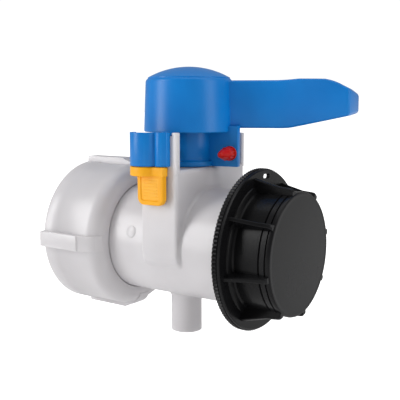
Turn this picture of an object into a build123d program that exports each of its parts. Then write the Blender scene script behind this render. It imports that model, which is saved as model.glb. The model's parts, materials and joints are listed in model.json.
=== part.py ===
from build123d import *
import os
from math import cos, radians, sin

# DN50 plastic ball valve for a bulk-liquid tote, closed by a dust cap at its outlet.
# X is the flow axis, from the inlet at X = 0 to the outlet. Z is up, along the stem.
# The origin is the centre of the union nut's mouth. All sizes are in millimetres.

# ---- driving dimensions -------------------------------------------------------------
stem_x = 75.0  # stem axis along the flow
running_gap = 0.08  # radial clearance of the stem in its bore

# union nut, S75 x 6 female
nut_length = 41.5
nut_band_length = 10.0
nut_band_r = 43.2
nut_wall_r = 42.6
nut_shoulder_round = 9.0
nut_hole_r = 32.0
nut_thread_r = 37.6
nut_thread_length = 23.0
nut_relief_r = 38.2
nut_seat_x = 33.0
lug_count = 4
lug_half_width = 5.6
lug_r = 46.3
lug_length = 26.0
lug_step_r = 45.0
lug_step_length = 31.0

# barrel of the body
barrel_r = 31.5
barrel_start = 32.6
barrel_end = 119.0
chamber_r = 28.2
outlet_bore_r = 23.0
outlet_thread_r = 30.0
outlet_end = 141.5
outlet_groove_r = 28.6
outlet_groove_length = 3.0
barrel_chamfer = 1.0

# neck block and cheeks
block_back = stem_x - 7.8
block_front = stem_x + 16.2
block_half_width = 33.7
block_foot_z = -3.0
neck_floor_z = 43.5
cheek_top_z = 61.5
cheek_post_top_z = 63.3
cheek_wall = 3.2
cheek_post = 3.2
far_post_wall = 2.8
cheek_slot_z = 48.9  # middle of the slot for the lock slide's tongue
cheek_slot_height = 10.0
foot_inner_y = 26.0
foot_z = -11.0
foot_round = 12.0
boss_r = 24.5

# stops for the handle on the neck floor: first and last angle of each, in degrees
handle_stops = ((107.0, 120.0), (222.0, 236.0))
stop_outer_r = 21.0
stop_height = 3.0

# ball, seats and stem
ball_r = 27.5
ball_bore_r = 19.5
ball_gap = 0.3
seat_back = 24.0
seat_front = 14.0
seat_r = 27.9
seat_bore_r = 20.5
seat_ring_r = 26.7
seat_ring_section = 1.4
stem_r = 8.5
stem_disc_r = 12.0
stem_disc_base = 27.8
stem_disc_top = 31.4
stem_pocket_base = 20.0
stem_pocket_top = 33.1
stem_square = 11.0
stem_top = 80.0
tongue_thickness = 5.8
tongue_length = 16.0
tongue_base = 22.9
stem_ring_r = 7.6
stem_ring_section = 0.95
stem_ring_heights = (36.3, 40.7)

# tailpiece and inlet gasket
collar_front = 26.0
collar_r = 35.8
tail_r = 28.15
tail_bore_r = 22.0
gasket_inner_r = 27.0
gasket_outer_r = 36.5
gasket_thickness = 3.0
tail_ring_x = 43.5
tail_ring_r = 26.7
tail_ring_section = 1.4

# support stub under the body
stub_x = stem_x - 2.0
stub_r = 8.9
stub_bottom = -53.0
stub_core_r = 5.8
stub_core_depth = 18.0
stub_edge_round = 1.4

# handle
hub_bottom_z = 62.8
hub_rim_z = 92.2
hub_bottom_r = 25.5
hub_rim_r = 24.4
hub_dome_height = 6.8
hub_dome_r = (hub_rim_r**2 + hub_dome_height**2) / (2 * hub_dome_height)
hub_rim_round = 1.2
hub_wall = 2.8
hub_roof = 3.0
rib_count = 6
rib_rise = 6.0
sleeve_r = 13.7
sleeve_bottom_z = 43.8
sleeve_lip_r = 15.7
sleeve_lip_height = 3.0
rib_thickness = 2.0
lever_bottom_z = 64.9
lever_top_z = 92.1
lever_wall = 2.8
stop_tab_r = 20.4
stop_tab_first = 121.0
stop_tab_last = 131.0
plate_angle = 8.0
plate_root_r = 12.0
plate_r = 31.0
plate_thickness = 3.6
plate_top_z = lever_bottom_z + 1.4
plate_web_r = 23.0

# lock slide and its holder, on the near cheek
holder_bottom_z = 45.7
holder_top_z = 63.4
holder_wall = 1.8
bulge_x = stem_x - 3.5
bulge_r = 9.0
ridge_x = stem_x + 7.4
ridge_r = 4.1
strip_left = stem_x - 12.4
strip_right = stem_x + 12.2
strip_thickness = 2.4
hook_left = stem_x + 3.5
hook_width = 8.0
tab_left = stem_x - 6.8
tab_right = stem_x + 10.6
tab_outer_y = -38.2
tab_thickness = 3.0
tab_bottom_z = 24.8
tab_top_z = 42.4
slide_tongue_half = 2.8
slide_tongue_z = 50.5
slide_tongue_height = 3.0

# lock screw through the handle's plate
screw_reach = 26.5
screw_z = 51.2
screw_head_r = 3.7
screw_head_length = 5.5
screw_tip_length = 7.5
screw_shank_r = 2.4
screw_shank_length = 7.0
washer_thickness = 1.0

# dust cap, S60 x 6 female
cap_back = 119.6
cap_flange_front = 124.0
cap_face = 146.5
cap_flange_r = 44.2
cap_teeth_length = 3.0
cap_tooth_count = 132
cap_tooth_depth = 0.7
cap_tooth_outline = ((0.0, cap_tooth_depth), (0.25, 0.0), (0.6, 0.0), (0.85, cap_tooth_depth))
cap_band_taper = 0.9
cap_face_round = 1.8
cap_rib_end = 0.6
cap_rib_sink = 2.0
cap_wall_r = 33.0
cap_bore_r = 30.6
cap_top_thickness = 3.0
cap_rib_count = 8
cap_rib_root_r = 40.8
cap_rib_r = 36.8
cap_rib_end_r = 36.2
cap_rib_first_angle = 12.5
cap_rib_half_width = 1.7
cap_rib_straight = 137.7
cap_gasket_inner_r = 22.5
cap_gasket_outer_r = 29.6
cap_gasket_thickness = 1.8
seal_hole_y = 3.2
seal_hole_z = 39.8
seal_hole_length = 6.6
seal_hole_width = 2.6
cap_groove_inner_r = 36.5
cap_groove_outer_r = 41.9
cap_groove_depth = 2.4  # hollow in the back of the flange


# ---- small helpers --------------------------------------------------------------------
def at_angle(radius, angle, centre_x=stem_x):
    """Point in plan at a radius and an angle in degrees from the stem axis."""
    return (centre_x + radius * cos(radians(angle)), radius * sin(radians(angle)))


def finish(builder, name):
    builder.part.label = name
    export_step(builder.part, f"parts/{name}.step")


def ring_about_flow(name, inner_r, outer_r, start, end):
    with BuildPart() as ring:
        with BuildSketch(Plane.YZ.offset(start)):
            Circle(outer_r)
            Circle(inner_r, mode=Mode.SUBTRACT)
        extrude(amount=end - start)
    finish(ring, name)


def o_ring_about_flow(name, centre_r, section_r, x):
    with BuildPart() as ring:
        with BuildSketch(Plane.XZ):
            with Locations((x, centre_r)):
                Circle(section_r)
        revolve(axis=Axis.X)
    finish(ring, name)


stem_axis = Axis((stem_x, 0, 0), (0, 0, 1))

# ---- union nut ------------------------------------------------------------------------
with BuildPart() as union_nut:
    with BuildSketch(Plane.XZ):
        with BuildLine():
            Line((0, nut_thread_r), (0, nut_band_r))
            Line((0, nut_band_r), (nut_band_length, nut_band_r))
            Line((nut_band_length, nut_band_r), (nut_band_length + 0.6, nut_wall_r))
            Line((nut_band_length + 0.6, nut_wall_r), (nut_length - nut_shoulder_round, nut_wall_r))
            RadiusArc(
                (nut_length - nut_shoulder_round, nut_wall_r),
                (nut_length, nut_wall_r - nut_shoulder_round),
                nut_shoulder_round,
            )
            Line((nut_length, nut_wall_r - nut_shoulder_round), (nut_length, nut_hole_r))
            Line((nut_length, nut_hole_r), (nut_seat_x, nut_hole_r))
            Line((nut_seat_x, nut_hole_r), (nut_seat_x, nut_relief_r))
            Line((nut_seat_x, nut_relief_r), (nut_thread_length, nut_relief_r))
            Line((nut_thread_length, nut_relief_r), (nut_thread_length, nut_thread_r))
            Line((nut_thread_length, nut_thread_r), (0, nut_thread_r))
        make_face()
    revolve(axis=Axis.X)
    lug_sink = nut_wall_r - 2.0
    with BuildSketch(Plane.XZ.offset(-lug_half_width)):
        with BuildLine():
            Polyline(
                (0, lug_sink),
                (0, lug_r),
                (lug_length, lug_r),
                (lug_length, lug_step_r),
                (lug_step_length, lug_step_r),
                (lug_step_length + 2.0, lug_sink),
                close=True,
            )
        make_face()
    lug = extrude(amount=2 * lug_half_width, mode=Mode.PRIVATE)
    with Locations(*[Location((0, 0, 0), (90 * k, 0, 0)) for k in range(lug_count)]):
        add(lug)
finish(union_nut, "union_nut")

# ---- inlet gasket, tailpiece and its ring ---------------------------------------------
gasket_front = collar_front - gasket_thickness
ring_about_flow("inlet_gasket", gasket_inner_r, gasket_outer_r, gasket_front, collar_front)

with BuildPart() as inlet_tailpiece:
    with BuildSketch(Plane.XZ):
        with BuildLine():
            Polyline(
                (collar_front, tail_bore_r),
                (collar_front, collar_r),
                (barrel_start, collar_r),
                (barrel_start, tail_r),
                (stem_x - seat_back, tail_r),
                (stem_x - seat_back, tail_bore_r),
                close=True,
            )
        make_face()
        with Locations((tail_ring_x, tail_r)):
            Rectangle(3.4, 2 * (tail_r - tail_ring_r + tail_ring_section + 0.05), mode=Mode.SUBTRACT)
    revolve(axis=Axis.X)
finish(inlet_tailpiece, "inlet_tailpiece")
o_ring_about_flow("tailpiece_oring", tail_ring_r, tail_ring_section, tail_ring_x)

# ---- valve body -----------------------------------------------------------------------
with BuildPart() as valve_body:
    # barrel and outlet stub
    with BuildSketch(Plane.XZ):
        with BuildLine():
            Polyline(
                (barrel_start, 0),
                (barrel_start, barrel_r),
                (barrel_end - barrel_chamfer, barrel_r),
                (barrel_end, barrel_r - barrel_chamfer),
                (barrel_end, outlet_groove_r),
                (barrel_end + outlet_groove_length, outlet_groove_r),
                (barrel_end + outlet_groove_length, outlet_thread_r),
                (outlet_end - barrel_chamfer, outlet_thread_r),
                (outlet_end, outlet_thread_r - barrel_chamfer),
                (outlet_end, 0),
                close=True,
            )
        make_face()
    revolve(axis=Axis.X)
    # neck block, as wide as the barrel, with a rounded foot on each side
    with BuildSketch(Plane.YZ.offset(block_back)):
        with BuildLine():
            Line((-block_half_width, block_foot_z), (-block_half_width, neck_floor_z))
            Line((-block_half_width, neck_floor_z), (block_half_width, neck_floor_z))
            Line((block_half_width, neck_floor_z), (block_half_width, block_foot_z))
            RadiusArc((block_half_width, block_foot_z), (foot_inner_y, foot_z), foot_round)
            Line((foot_inner_y, foot_z), (-foot_inner_y, foot_z))
            RadiusArc((-foot_inner_y, foot_z), (-block_half_width, block_foot_z), foot_round)
        make_face()
    extrude(amount=block_front - block_back)
    # round stem boss behind the block
    with BuildSketch(Plane.XY):
        with Locations((stem_x, 0)):
            Circle(boss_r)
        with Locations((block_front + boss_r, 0)):
            Rectangle(2 * boss_r, 2 * boss_r, mode=Mode.SUBTRACT)
    extrude(amount=neck_floor_z)
    # two cheeks on the block; the far one is cut back to a corner post
    block_length = block_front - block_back
    with BuildSketch(Plane.XY.offset(neck_floor_z)):
        with Locations((block_back + block_length / 2, -block_half_width + cheek_wall / 2)):
            Rectangle(block_length, cheek_wall)
        with Locations((block_front - cheek_post / 2, block_half_width - far_post_wall / 2)):
            Rectangle(cheek_post, far_post_wall)
    extrude(amount=cheek_top_z - neck_floor_z)
    with BuildSketch(Plane.XY.offset(neck_floor_z)):
        with Locations((block_front - cheek_post / 2, -block_half_width + cheek_wall / 2)):
            Rectangle(cheek_post, cheek_wall)
    extrude(amount=cheek_post_top_z - neck_floor_z)
    # slot in the near cheek for the lock slide's tongue
    with BuildSketch(Plane.XZ.offset(block_half_width + 1)):
        with Locations((stem_x, cheek_slot_z)):
            Rectangle(2 * slide_tongue_half + 0.8, cheek_slot_height)
    extrude(amount=-(cheek_wall + 2), mode=Mode.SUBTRACT)
    # stops for the handle, a quarter turn apart
    stop_inner_r = sleeve_lip_r + 0.7
    for first, last in handle_stops:
        with BuildSketch(Plane.XY.offset(neck_floor_z)):
            with BuildLine():
                inner = [at_angle(stop_inner_r, a) for a in (first, last)]
                outer = [at_angle(stop_outer_r, a) for a in (first, last)]
                Line(inner[0], outer[0])
                RadiusArc(outer[0], outer[1], -stop_outer_r)
                Line(outer[1], inner[1])
                RadiusArc(inner[1], inner[0], stop_inner_r)
            make_face()
        extrude(amount=stop_height)
    # support stub
    with BuildSketch(Plane.XY.offset(stub_bottom)):
        with Locations((stub_x, 0)):
            Circle(stub_r)
    extrude(amount=-stub_bottom - barrel_r + 3.0)
    fillet(valve_body.edges().sort_by(Axis.Z)[0], stub_edge_round)
    # chamber, outlet bore, stem pocket and stem bore
    with BuildSketch(Plane.YZ.offset(barrel_start)):
        Circle(chamber_r)
    extrude(amount=stem_x + seat_back - barrel_start, mode=Mode.SUBTRACT)
    with BuildSketch(Plane.YZ.offset(stem_x)):
        Circle(outlet_bore_r)
    extrude(amount=outlet_end - stem_x, mode=Mode.SUBTRACT)
    with BuildSketch(Plane.XY.offset(stem_pocket_base)):
        with Locations((stem_x, 0)):
            Circle(stem_disc_r + 0.3)
    extrude(amount=stem_pocket_top - stem_pocket_base, mode=Mode.SUBTRACT)
    with BuildSketch(Plane.XY.offset(stem_pocket_base)):
        with Locations((stem_x, 0)):
            Circle(stem_r + running_gap)
    extrude(amount=neck_floor_z - stem_pocket_base + 1.0, mode=Mode.SUBTRACT)
    # core of the support stub
    with BuildSketch(Plane.XY.offset(stub_bottom)):
        with Locations((stub_x, 0)):
            Circle(stub_core_r)
    extrude(amount=stub_core_depth, mode=Mode.SUBTRACT)
finish(valve_body, "valve_body")

# ---- ball, seats and their rings ------------------------------------------------------
with BuildPart() as ball:
    with Locations((stem_x, 0, 0)):
        Sphere(ball_r)
    with BuildSketch(Plane.YZ.offset(stem_x - ball_r)):
        Circle(ball_bore_r)
    extrude(amount=2 * ball_r, mode=Mode.SUBTRACT)
    with BuildSketch(Plane.XY.offset(tongue_base - 0.2)):
        with Locations((stem_x, 0)):
            Rectangle(tongue_thickness + 0.2, tongue_length + 1.0)
    extrude(amount=ball_r, mode=Mode.SUBTRACT)
finish(ball, "ball")

for side, name in ((-1, "seat_inlet"), (1, "seat_outlet")):
    with BuildPart() as seat:
        with BuildSketch(Plane.XZ):
            near = stem_x + side * seat_front
            back = stem_x + side * seat_back
            step = stem_x + side * (seat_back - 3.0)
            with BuildLine():
                Polyline(
                    (near, seat_bore_r),
                    (near, seat_r),
                    (step, seat_r),
                    (step, seat_ring_r - seat_ring_section - 0.05),
                    (back, seat_ring_r - seat_ring_section - 0.05),
                    (back, seat_bore_r),
                    close=True,
                )
            make_face()
            with Locations((stem_x, 0)):
                Circle(ball_r + ball_gap, mode=Mode.SUBTRACT)
        revolve(axis=Axis.X)
    finish(seat, name)
    o_ring_about_flow(f"{name}_oring", seat_ring_r, seat_ring_section, step + side * 1.5)

# ---- stem, its washer and rings -------------------------------------------------------
with BuildPart() as stem:
    with BuildSketch(Plane.XY.offset(stem_disc_base)):
        with Locations((stem_x, 0)):
            Circle(stem_disc_r)
    extrude(amount=stem_disc_top - stem_disc_base)
    with BuildSketch(Plane.XY.offset(stem_disc_top)):
        with Locations((stem_x, 0)):
            Circle(stem_r)
    extrude(amount=neck_floor_z + 2.0 - stem_disc_top)
    with BuildSketch(Plane.XY.offset(neck_floor_z)):
        with Locations((stem_x, 0)):
            Rectangle(stem_square, stem_square)
    extrude(amount=stem_top - neck_floor_z)
    chamfer(stem.faces().sort_by(Axis.Z)[-1].edges(), 1.0)
    with BuildSketch(Plane.XY.offset(tongue_base)):
        with Locations((stem_x, 0)):
            Rectangle(tongue_thickness, tongue_length)
    extrude(amount=stem_disc_base - tongue_base)
    for height in stem_ring_heights:
        with BuildSketch(Plane.XZ):
            with Locations((stem_x + stem_r, height)):
                Rectangle(2 * (stem_r - stem_ring_r + stem_ring_section + 0.05), 2.6)
        revolve(axis=stem_axis, mode=Mode.SUBTRACT)
finish(stem, "stem")

with BuildPart() as stem_washer:
    with BuildSketch(Plane.XY.offset(stem_disc_top + 0.05)):
        with Locations((stem_x, 0)):
            Circle(stem_disc_r)
            Circle(stem_r + 0.2, mode=Mode.SUBTRACT)
    extrude(amount=stem_pocket_top - stem_disc_top - 0.1)
finish(stem_washer, "stem_thrust_washer")

for height, name in zip(stem_ring_heights, ("stem_oring_lower", "stem_oring_upper")):
    with BuildPart() as stem_ring:
        with BuildSketch(Plane.XZ):
            with Locations((stem_x + stem_ring_r, height)):
                Circle(stem_ring_section)
        revolve(axis=stem_axis)
    finish(stem_ring, name)

# ---- handle: hub, sleeve, lever and lock plate ----------------------------------------
# plan points of the lever's near and far sides, from the stem axis: two straight root
# points, then the curved grip
lever_outline_near = ((20.0, 2.2), (50.0, 15.6))
lever_near_grip = ((60.0, 17.0), (74.0, 19.0), (87.6, 20.9))
lever_outline_far = ((14.0, 15.2), (43.0, 28.2))
lever_far_grip = ((54.0, 33.8), (70.0, 38.0), (85.0, 40.6))


def from_stem(point, inset=0.0):
    """Plan point measured from the stem axis, pulled towards the lever's middle line."""
    return (stem_x + point[0], point[1] + inset)


def lever_plan(inset):
    """Closed plan outline of the lever, smaller by an inset on each side."""
    root_near = from_stem(lever_outline_near[0], inset)
    bend_near = from_stem(lever_outline_near[1], inset)
    root_far = from_stem(lever_outline_far[0], -inset)
    bend_far = from_stem(lever_outline_far[1], -inset)
    tip_near = (stem_x + lever_near_grip[-1][0] - inset, lever_near_grip[-1][1] + inset)
    tip_far = (stem_x + lever_far_grip[-1][0] - inset, lever_far_grip[-1][1] - inset)
    near_grip = [from_stem(p, inset) for p in lever_near_grip[:-1]]
    far_grip = [from_stem(p, -inset) for p in lever_far_grip[:-1]]
    with BuildLine() as outline:
        Line(root_near, bend_near)
        Spline(bend_near, *near_grip, tip_near)
        Line(tip_near, tip_far)
        Spline(tip_far, *reversed(far_grip), bend_far)
        Line(bend_far, root_far)
        Line(root_far, root_near)
    return outline.edges()


hub_cavity_rim = hub_rim_z - hub_roof
with BuildPart() as handle:
    # hub shell with its domed top, open underneath
    with BuildSketch(Plane.XZ):
        with BuildLine():
            Line((stem_x, hub_bottom_z), (stem_x + hub_bottom_r, hub_bottom_z))
            Line((stem_x + hub_bottom_r, hub_bottom_z), (stem_x + hub_rim_r, hub_rim_z))
            RadiusArc(
                (stem_x + hub_rim_r, hub_rim_z),
                (stem_x, hub_rim_z + hub_dome_height),
                -hub_dome_r,
            )
            Line((stem_x, hub_rim_z + hub_dome_height), (stem_x, hub_bottom_z))
        make_face()
    revolve(axis=stem_axis)
    rim_edges = handle.edges().filter_by_position(Axis.Z, hub_rim_z - 0.1, hub_rim_z + 0.1)
    fillet(rim_edges.filter_by(GeomType.CIRCLE), hub_rim_round)
    # lever: plan outline cut to its side outline
    with BuildSketch(Plane.XY.offset(lever_bottom_z)):
        make_face(lever_plan(0.0))
    extrude(amount=30.0)
    with BuildSketch(Plane.XZ.offset(-60.0)):
        with BuildLine():
            Polyline(
                (stem_x + 26.0, lever_top_z),
                (stem_x + 52.0, lever_top_z),
                (stem_x + 60.0, lever_top_z + 1.0),
                (stem_x + 74.0, lever_top_z + 1.0),
                (stem_x + 80.0, lever_top_z - 1.0),
                (stem_x + 88.2, lever_top_z - 9.0),
                (stem_x + 100.0, lever_top_z - 20.0),
                (stem_x + 100.0, lever_top_z + 10.0),
                (stem_x + 26.0, lever_top_z + 10.0),
                close=True,
            )
        make_face()
    extrude(amount=120.0, mode=Mode.SUBTRACT)
    with BuildSketch(Plane.XZ.offset(-60.0)):
        with BuildLine():
            Polyline(
                (stem_x + 53.0, lever_bottom_z),
                (stem_x + 87.5, lever_bottom_z + 7.4),
                (stem_x + 100.0, lever_bottom_z + 10.1),
                (stem_x + 100.0, lever_bottom_z - 5.0),
                (stem_x + 53.0, lever_bottom_z - 5.0),
                close=True,
            )
        make_face()
    extrude(amount=120.0, mode=Mode.SUBTRACT)
    # cavities of the hub and the lever
    with BuildSketch(Plane.XY.offset(hub_bottom_z)):
        with Locations((stem_x, 0)):
            Circle(hub_rim_r - hub_wall)
    extrude(amount=hub_cavity_rim - hub_bottom_z, mode=Mode.SUBTRACT)
    with BuildSketch(Plane.XY.offset(lever_bottom_z - 1.0)):
        make_face(lever_plan(lever_wall))
        with Locations((stem_x, 0)):
            Circle(hub_bottom_r, mode=Mode.SUBTRACT)
        with Locations((stem_x + 96.0, 30.0)):
            Rectangle(40.0, 60.0, mode=Mode.SUBTRACT)
    extrude(amount=lever_top_z - lever_wall - lever_bottom_z, mode=Mode.SUBTRACT)
    # sleeve round the stem, with its lip
    with BuildSketch(Plane.XY.offset(sleeve_bottom_z)):
        with Locations((stem_x, 0)):
            Circle(sleeve_r)
    extrude(amount=hub_cavity_rim - sleeve_bottom_z + 0.5)
    with BuildSketch(Plane.XY.offset(sleeve_bottom_z)):
        with Locations((stem_x, 0)):
            Circle(sleeve_lip_r)
        with BuildLine():
            Polyline(
                at_angle(plate_root_r, stop_tab_first),
                at_angle(stop_tab_r, stop_tab_first),
                at_angle(stop_tab_r, stop_tab_last),
                at_angle(plate_root_r, stop_tab_last),
                close=True,
            )
        make_face()
        for angle in (180, 270):
            with Locations(Location((*at_angle(sleeve_r + 5.2, angle), 0), (0, 0, angle))):
                Rectangle(10.0, 2 * slide_tongue_half + 0.6, mode=Mode.SUBTRACT)
    extrude(amount=sleeve_lip_height)
    # radial ribs inside the hub
    with BuildSketch(Plane.XY.offset(hub_bottom_z + rib_rise)):
        with Locations((stem_x, 0)):
            with PolarLocations((sleeve_r + hub_rim_r - hub_wall) / 2, rib_count, start_angle=30):
                Rectangle(hub_rim_r - hub_wall - sleeve_r + 1.0, rib_thickness)
    extrude(amount=hub_cavity_rim - hub_bottom_z - rib_rise + 0.5)
    # lock plate with its web up to the lever's root
    with BuildSketch(Plane.XY.offset(sleeve_bottom_z)):
        plate_middle = at_angle((plate_r + plate_root_r) / 2, plate_angle)
        with Locations(Location((*plate_middle, 0), (0, 0, plate_angle))):
            Rectangle(plate_r - plate_root_r, plate_thickness)
    extrude(amount=plate_top_z - sleeve_bottom_z)
    with BuildSketch(Plane.XY.offset(lever_bottom_z)):
        with BuildLine():
            Polyline(
                at_angle(plate_web_r, plate_angle),
                at_angle(plate_r, plate_angle),
                from_stem((34.0, 9.4)),
                from_stem((34.0, 14.0)),
                from_stem((22.0, 12.0)),
                close=True,
            )
        make_face()
    extrude(amount=plate_top_z - lever_bottom_z)
    # round bore and square socket for the stem
    with BuildSketch(Plane.XY.offset(sleeve_bottom_z)):
        with Locations((stem_x, 0)):
            Circle(stem_r + 0.6)
    extrude(amount=12.0, mode=Mode.SUBTRACT)
    with BuildSketch(Plane.XY.offset(sleeve_bottom_z)):
        with Locations((stem_x, 0)):
            Rectangle(stem_square + 0.1, stem_square + 0.1)
    extrude(amount=stem_top + 0.3 - sleeve_bottom_z, mode=Mode.SUBTRACT)
    # hole for the lock screw
    plate_plane = Plane(
        origin=(*at_angle(screw_reach, plate_angle), screw_z),
        x_dir=(cos(radians(plate_angle)), sin(radians(plate_angle)), 0),
        z_dir=(sin(radians(plate_angle)), -cos(radians(plate_angle)), 0),
    )
    with Locations(plate_plane):
        Cylinder(screw_shank_r + running_gap, 3 * plate_thickness, mode=Mode.SUBTRACT)
finish(handle, "handle")

# ---- lock screw and its washer --------------------------------------------------------
washer_back = plate_thickness / 2 + 0.05
with BuildPart() as lock_screw_washer:
    with BuildSketch(plate_plane.offset(washer_back)):
        Circle(screw_head_r + 0.3)
        Circle(screw_shank_r + 0.3, mode=Mode.SUBTRACT)
    extrude(amount=washer_thickness)
finish(lock_screw_washer, "lock_screw_washer")

head_back = washer_back + washer_thickness + 0.05
with BuildPart() as lock_screw:
    with BuildSketch(plate_plane.offset(head_back)):
        Circle(screw_head_r)
    extrude(amount=screw_head_length)
    with BuildSketch(plate_plane.offset(head_back + screw_head_length)):
        Circle(screw_head_r - 0.9)
    with BuildSketch(plate_plane.offset(head_back + screw_head_length + screw_tip_length)):
        Circle(1.3)
    loft()
    with BuildSketch(plate_plane.offset(head_back)):
        Circle(screw_shank_r)
    extrude(amount=-screw_shank_length)
finish(lock_screw, "lock_screw")

# ---- lock slide holder ----------------------------------------------------------------
cheek_face = -block_half_width - 0.1
with BuildPart() as slide_holder:
    with BuildSketch(Plane.XY.offset(holder_bottom_z)):
        with Locations((bulge_x, cheek_face)):
            Circle(bulge_r)
        with Locations((ridge_x, cheek_face - 0.6)):
            Circle(ridge_r)
        with Locations(((strip_left + strip_right) / 2, cheek_face - strip_thickness / 2)):
            Rectangle(strip_right - strip_left, strip_thickness)
        with Locations((bulge_x, cheek_face)):
            Circle(bulge_r - holder_wall, mode=Mode.SUBTRACT)
        with Locations((ridge_x, cheek_face - 0.6)):
            Circle(ridge_r - holder_wall, mode=Mode.SUBTRACT)
        with Locations((stem_x, cheek_face + 20.0)):
            Rectangle(60.0, 40.0, mode=Mode.SUBTRACT)
    extrude(amount=holder_top_z - holder_bottom_z)
    # hook over the cheek's top edge
    hook_base = cheek_top_z + 0.05
    hook_inner_y = -block_half_width + cheek_wall + 0.1
    with BuildSketch(Plane.YZ.offset(hook_left)):
        with BuildLine():
            Polyline(
                (cheek_face - 1.4, hook_base - 1.0),
                (cheek_face, hook_base - 1.0),
                (cheek_face, hook_base),
                (hook_inner_y, hook_base),
                (hook_inner_y, hook_base - 4.0),
                (hook_inner_y + 1.6, hook_base - 4.0),
                (hook_inner_y + 1.6, holder_top_z),
                (cheek_face - 1.4, holder_top_z),
                close=True,
            )
        make_face()
    extrude(amount=hook_width)
finish(slide_holder, "slide_holder")

# ---- lock slide -----------------------------------------------------------------------
tab_mid = (tab_left + tab_right) / 2
tab_width = tab_right - tab_left
tab_height = tab_top_z - tab_bottom_z
tab_inner_y = tab_outer_y + tab_thickness
slide_face = cheek_face - 0.3
with BuildPart() as lock_slide:
    # thumb tab with a raised border and grip ribs
    with BuildSketch(Plane.XZ.offset(-tab_inner_y)):
        with Locations((tab_mid, tab_bottom_z + tab_height / 2)):
            RectangleRounded(tab_width, tab_height, 4.0)
    extrude(amount=tab_thickness)
    with BuildSketch(Plane.XZ.offset(-tab_outer_y)):
        with Locations((tab_mid, tab_bottom_z + tab_height / 2)):
            RectangleRounded(tab_width - 5.4, tab_height - 5.4, 2.2)
    extrude(amount=-0.9, mode=Mode.SUBTRACT)
    with BuildSketch(Plane.XZ.offset(-tab_outer_y - 0.4)):
        with GridLocations(0, 1.9, 1, 7):
            with Locations((tab_mid, tab_bottom_z + tab_height / 2)):
                Rectangle(tab_width - 5.0, 0.7)
    extrude(amount=-0.9)
    # collar under the holder
    with BuildSketch(Plane.XY.offset(tab_top_z - 2.0)):
        with Locations((bulge_x, cheek_face)):
            Circle(bulge_r)
        with Locations((tab_mid - 1.0, (slide_face + tab_outer_y) / 2)):
            Rectangle(tab_width + 2.6, slide_face - tab_outer_y)
        with Locations((stem_x, slide_face + 20.0)):
            Rectangle(60.0, 40.0, mode=Mode.SUBTRACT)
    extrude(amount=holder_bottom_z - 0.4 - tab_top_z + 2.0)
    # riser inside the holder, and the tongue through the cheek's slot
    with BuildSketch(Plane.XY.offset(tab_top_z)):
        with Locations((bulge_x, cheek_face)):
            Circle(bulge_r - holder_wall - 0.35)
        with Locations((stem_x, slide_face + 20.0)):
            Rectangle(60.0, 40.0, mode=Mode.SUBTRACT)
    extrude(amount=slide_tongue_z + slide_tongue_height + 4.0 - tab_top_z)
    tongue_end_y = -sleeve_r - 0.5
    with BuildSketch(Plane.XY.offset(slide_tongue_z)):
        with Locations((stem_x, (slide_face - 1.0 + tongue_end_y) / 2)):
            Rectangle(2 * slide_tongue_half, tongue_end_y - slide_face + 1.0)
    extrude(amount=slide_tongue_height)
finish(lock_slide, "lock_slide")

# ---- dust cap and its gasket ----------------------------------------------------------
cap_gasket_back = outlet_end + 0.1
cap_gasket_front = cap_gasket_back + cap_gasket_thickness
ring_about_flow("cap_gasket", cap_gasket_inner_r, cap_gasket_outer_r, cap_gasket_back, cap_gasket_front)

with BuildPart() as dust_cap:
    # toothed flange, then its plain front band
    with BuildSketch(Plane.YZ.offset(cap_back)):
        tooth_step = 360 / cap_tooth_count
        rim = []
        for k in range(cap_tooth_count):
            for share, depth in cap_tooth_outline:
                rim.append(at_angle(cap_flange_r - depth, (k + share) * tooth_step, 0.0))
        with BuildLine():
            Polyline(*rim, close=True)
        make_face()
    extrude(amount=cap_teeth_length)
    with BuildSketch(Plane.YZ.offset(cap_back + cap_teeth_length)):
        Circle(cap_flange_r)
    with BuildSketch(Plane.YZ.offset(cap_flange_front)):
        Circle(cap_flange_r - cap_band_taper)
    loft()
    # wall and top
    with BuildSketch(Plane.YZ.offset(cap_flange_front)):
        Circle(cap_wall_r)
    extrude(amount=cap_face - cap_flange_front)
    fillet(dust_cap.edges().sort_by(Axis.X)[-1], cap_face_round)
    # grip ribs, slanting down from the flange
    with BuildSketch(Plane.XZ.offset(-cap_rib_half_width)):
        with BuildLine():
            Polyline(
                (cap_flange_front, cap_wall_r - cap_rib_sink),
                (cap_flange_front, cap_rib_root_r),
                (cap_rib_straight, cap_rib_r),
                (cap_face - cap_rib_end, cap_rib_end_r),
                (cap_face - cap_rib_end, cap_wall_r - cap_rib_sink),
                close=True,
            )
        make_face()
    rib = extrude(amount=2 * cap_rib_half_width, mode=Mode.PRIVATE)
    rib_angles = [cap_rib_first_angle + 360 / cap_rib_count * k for k in range(cap_rib_count)]
    with Locations(*[Location((0, 0, 0), (angle, 0, 0)) for angle in rib_angles]):
        add(rib)
    # bore, hollow in the flange's back and the seal-wire hole
    with BuildSketch(Plane.YZ.offset(cap_back)):
        Circle(cap_bore_r)
    extrude(amount=cap_face - cap_top_thickness - cap_back, mode=Mode.SUBTRACT)
    with BuildSketch(Plane.YZ.offset(cap_back)):
        Circle(cap_groove_outer_r)
        Circle(cap_groove_inner_r, mode=Mode.SUBTRACT)
    extrude(amount=cap_groove_depth, mode=Mode.SUBTRACT)
    with BuildSketch(Plane.YZ.offset(cap_back)):
        with Locations((seal_hole_y, seal_hole_z)):
            SlotOverall(seal_hole_length, seal_hole_width)
    extrude(amount=cap_flange_front - cap_back, mode=Mode.SUBTRACT)
finish(dust_cap, "dust_cap")
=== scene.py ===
import json
import math

import bmesh
import bpy
from mathutils import Matrix, Vector


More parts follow.
